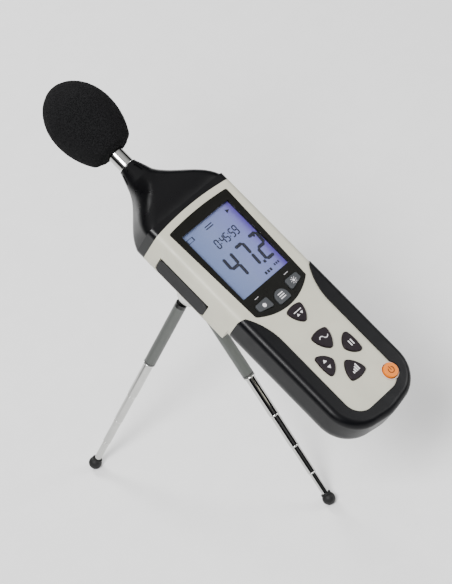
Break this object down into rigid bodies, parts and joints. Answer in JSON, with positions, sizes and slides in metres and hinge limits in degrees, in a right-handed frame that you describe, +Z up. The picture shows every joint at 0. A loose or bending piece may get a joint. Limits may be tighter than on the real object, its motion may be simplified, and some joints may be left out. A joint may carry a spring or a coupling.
{
  "type": "sound level meter on tripod",
  "caption": "Handheld sound level meter with a foam ball windscreen, LCD and keypad, standing on a folding pocket tripod with telescopic legs and a ball head.",
  "frame": {"origin": "floor level, under the middle of the whole object's bounding box", "axes": "+Z up; +Y is the horizontal direction the microphone points, away from the reader; +X is the reader's right"},
  "size_m": [0.1952, 0.2844, 0.2966],
  "materials": {
    "housing": "satin",
    "black_plastic": "satin",
    "grip_rubber": "satin",
    "foam": "matte",
    "clear_window": "gloss",
    "lcd": "gloss",
    "backlight": "matte",
    "circuit_board": "satin",
    "membrane": "matte",
    "dark_keys": "matte",
    "grey_keys": "matte",
    "orange_key": "satin",
    "connector": "satin",
    "battery_can": "satin",
    "steel": "satin",
    "brass_insert": "satin",
    "chrome_tube": "polished",
    "capsule_metal": "satin",
    "leg_coat": "satin",
    "bracket_black": "satin",
    "hub_silver": "satin",
    "head_black": "satin",
    "stud_metal": "satin",
    "pad_rubber": "matte",
    "foot_rubber": "matte"
  },
  "bodies": {
    "tripod_head": {"tripod_hub": "hub_silver", "ball_socket": "head_black", "leg_pins": "steel"},
    "lock_knob": {"lock_knob": "head_black"},
    "ball_stud": {"ball_stud": "stud_metal", "stud_pad": "pad_rubber"},
    "meter": {"front_shell": "housing", "rear_shell": "housing", "nose_cone": "black_plastic", "neck_collar": "black_plastic", "grip_overmould": "grip_rubber", "display_bezel": "black_plastic", "display_window": "clear_window", "lcd_panel": "lcd", "lcd_backlight": "backlight", "main_board": "circuit_board", "keypad_membrane": "membrane", "preamp_board": "circuit_board", "usb_port": "connector", "dc_jack": "connector", "signal_jack": "connector", "battery": "battery_can", "battery_snap": "connector", "case_screws": "steel", "threaded_insert": "brass_insert", "mic_tube": "chrome_tube", "mic_capsule": "capsule_metal"},
    "battery_cover": {"battery_cover": "black_plastic"},
    "port_cover": {"port_cover": "grip_rubber"},
    "windscreen": {"windscreen": "foam"},
    "key_record": {"key_record": "grey_keys"},
    "key_setup": {"key_setup": "grey_keys"},
    "key_backlight": {"key_backlight": "grey_keys"},
    "key_fast_slow": {"key_fast_slow": "dark_keys"},
    "key_weighting": {"key_weighting": "dark_keys"},
    "key_hold": {"key_hold": "dark_keys"},
    "key_max_min": {"key_max_min": "dark_keys"},
    "key_level": {"key_level": "dark_keys"},
    "key_power": {"key_power": "orange_key"},
    "leg_1": {"leg_1_bracket": "bracket_black", "leg_1_upper": "leg_coat"},
    "leg_1_section_2": {"leg_1_tube_2": "chrome_tube"},
    "leg_1_section_3": {"leg_1_tube_3": "chrome_tube"},
    "leg_1_section_4": {"leg_1_tube_4": "chrome_tube"},
    "leg_1_section_5": {"leg_1_tube_5": "chrome_tube", "leg_1_foot": "foot_rubber"},
    "leg_2": {"leg_2_bracket": "bracket_black", "leg_2_upper": "leg_coat"},
    "leg_2_section_2": {"leg_2_tube_2": "chrome_tube"},
    "leg_2_section_3": {"leg_2_tube_3": "chrome_tube"},
    "leg_2_section_4": {"leg_2_tube_4": "chrome_tube"},
    "leg_2_section_5": {"leg_2_tube_5": "chrome_tube", "leg_2_foot": "foot_rubber"},
    "leg_3": {"leg_3_bracket": "bracket_black", "leg_3_upper": "leg_coat"},
    "leg_3_section_2": {"leg_3_tube_2": "chrome_tube"},
    "leg_3_section_3": {"leg_3_tube_3": "chrome_tube"},
    "leg_3_section_4": {"leg_3_tube_4": "chrome_tube"},
    "leg_3_section_5": {"leg_3_tube_5": "chrome_tube", "leg_3_foot": "foot_rubber"}
  },
  "joints": [
    {"name": "lock_knob_turn", "type": "hinge", "parent": "tripod_head", "child": "lock_knob", "pos_m": [-0.00458, 0.0464, 0.16409], "axis": [0.1045, 0.9945, 0], "range_deg": [0, 180]},
    {"name": "ball_tilt", "type": "hinge", "parent": "tripod_head", "child": "ball_stud", "pos_m": [-0.00563, 0.03646, 0.16809], "axis": [-0.9686, -0.2485, 0], "range_deg": [-10, 34.5]},
    {"name": "meter_pan", "type": "hinge", "parent": "ball_stud", "child": "meter", "pos_m": [-0.00309, 0.02657, 0.18292], "axis": [0.1409, -0.5493, 0.8237], "range_deg": [-90, 90]},
    {"name": "key_record_press", "type": "slide", "parent": "meter", "child": "key_record", "axis": [-0.1409, 0.5493, -0.8237], "range_m": [0, 0.001], "stiffness_N_per_m": 1500},
    {"name": "key_setup_press", "type": "slide", "parent": "meter", "child": "key_setup", "axis": [-0.1409, 0.5493, -0.8237], "range_m": [0, 0.001], "stiffness_N_per_m": 1500},
    {"name": "key_backlight_press", "type": "slide", "parent": "meter", "child": "key_backlight", "axis": [-0.1409, 0.5493, -0.8237], "range_m": [0, 0.001], "stiffness_N_per_m": 1500},
    {"name": "key_fast_slow_press", "type": "slide", "parent": "meter", "child": "key_fast_slow", "axis": [-0.1409, 0.5493, -0.8237], "range_m": [0, 0.001], "stiffness_N_per_m": 1500},
    {"name": "key_weighting_press", "type": "slide", "parent": "meter", "child": "key_weighting", "axis": [-0.1409, 0.5493, -0.8237], "range_m": [0, 0.001], "stiffness_N_per_m": 1500},
    {"name": "key_hold_press", "type": "slide", "parent": "meter", "child": "key_hold", "axis": [-0.1409, 0.5493, -0.8237], "range_m": [0, 0.001], "stiffness_N_per_m": 1500},
    {"name": "key_max_min_press", "type": "slide", "parent": "meter", "child": "key_max_min", "axis": [-0.1409, 0.5493, -0.8237], "range_m": [0, 0.001], "stiffness_N_per_m": 1500},
    {"name": "key_level_press", "type": "slide", "parent": "meter", "child": "key_level", "axis": [-0.1409, 0.5493, -0.8237], "range_m": [0, 0.001], "stiffness_N_per_m": 1500},
    {"name": "key_power_press", "type": "slide", "parent": "meter", "child": "key_power", "axis": [-0.1409, 0.5493, -0.8237], "range_m": [0, 0.001], "stiffness_N_per_m": 1500},
    {"name": "windscreen_pull", "type": "slide", "parent": "meter", "child": "windscreen", "axis": [0, 0.832, 0.5548], "range_m": [0, 0.06]},
    {"name": "port_cover_open", "type": "hinge", "parent": "meter", "child": "port_cover", "pos_m": [-0.03764, 0.01734, 0.21424], "axis": [-0.1409, 0.5493, -0.8237], "range_deg": [0, 100]},
    {"name": "battery_cover_lift", "type": "slide", "parent": "meter", "child": "battery_cover", "axis": [-0.1409, 0.5493, -0.8237], "range_m": [0, 0.025]},
    {"name": "leg_1_fold", "type": "hinge", "parent": "tripod_head", "child": "leg_1", "pos_m": [-0.01048, 0.03998, 0.14459], "axis": [-0.5878, -0.809, 0], "range_deg": [0, 33]},
    {"name": "leg_1_section_2_slide", "type": "slide", "parent": "leg_1", "child": "leg_1_section_2", "axis": [0.4751, -0.3452, 0.8094], "range_m": [0, 0.03]},
    {"name": "leg_1_section_3_slide", "type": "slide", "parent": "leg_1_section_2", "child": "leg_1_section_3", "axis": [0.4751, -0.3452, 0.8094], "range_m": [0, 0.024]},
    {"name": "leg_1_section_4_slide", "type": "slide", "parent": "leg_1_section_3", "child": "leg_1_section_4", "axis": [0.4751, -0.3452, 0.8094], "range_m": [0, 0.02]},
    {"name": "leg_1_section_5_slide", "type": "slide", "parent": "leg_1_section_4", "child": "leg_1_section_5", "axis": [0.4751, -0.3452, 0.8094], "range_m": [0, 0.015]},
    {"name": "leg_2_fold", "type": "hinge", "parent": "tripod_head", "child": "leg_2", "pos_m": [-0.00626, 0.03049, 0.14459], "axis": [0.9945, -0.1045, 0], "range_deg": [0, 33]},
    {"name": "leg_2_section_2_slide", "type": "slide", "parent": "leg_2", "child": "leg_2_section_2", "axis": [0.0614, 0.584, 0.8094], "range_m": [0, 0.03]},
    {"name": "leg_2_section_3_slide", "type": "slide", "parent": "leg_2_section_2", "child": "leg_2_section_3", "axis": [0.0614, 0.584, 0.8094], "range_m": [0, 0.024]},
    {"name": "leg_2_section_4_slide", "type": "slide", "parent": "leg_2_section_3", "child": "leg_2_section_4", "axis": [0.0614, 0.584, 0.8094], "range_m": [0, 0.02]},
    {"name": "leg_2_section_5_slide", "type": "slide", "parent": "leg_2_section_4", "child": "leg_2_section_5", "axis": [0.0614, 0.584, 0.8094], "range_m": [0, 0.015]},
    {"name": "leg_3_fold", "type": "hinge", "parent": "tripod_head", "child": "leg_3", "pos_m": [-0.00015, 0.0389, 0.14459], "axis": [-0.4067, 0.9135, 0], "range_deg": [0, 33]},
    {"name": "leg_3_section_2_slide", "type": "slide", "parent": "leg_3", "child": "leg_3_section_2", "axis": [-0.5365, -0.2388, 0.8094], "range_m": [0, 0.03]},
    {"name": "leg_3_section_3_slide", "type": "slide", "parent": "leg_3_section_2", "child": "leg_3_section_3", "axis": [-0.5365, -0.2388, 0.8094], "range_m": [0, 0.024]},
    {"name": "leg_3_section_4_slide", "type": "slide", "parent": "leg_3_section_3", "child": "leg_3_section_4", "axis": [-0.5365, -0.2388, 0.8094], "range_m": [0, 0.02]},
    {"name": "leg_3_section_5_slide", "type": "slide", "parent": "leg_3_section_4", "child": "leg_3_section_5", "axis": [-0.5365, -0.2388, 0.8094], "range_m": [0, 0.015]}
  ]
}
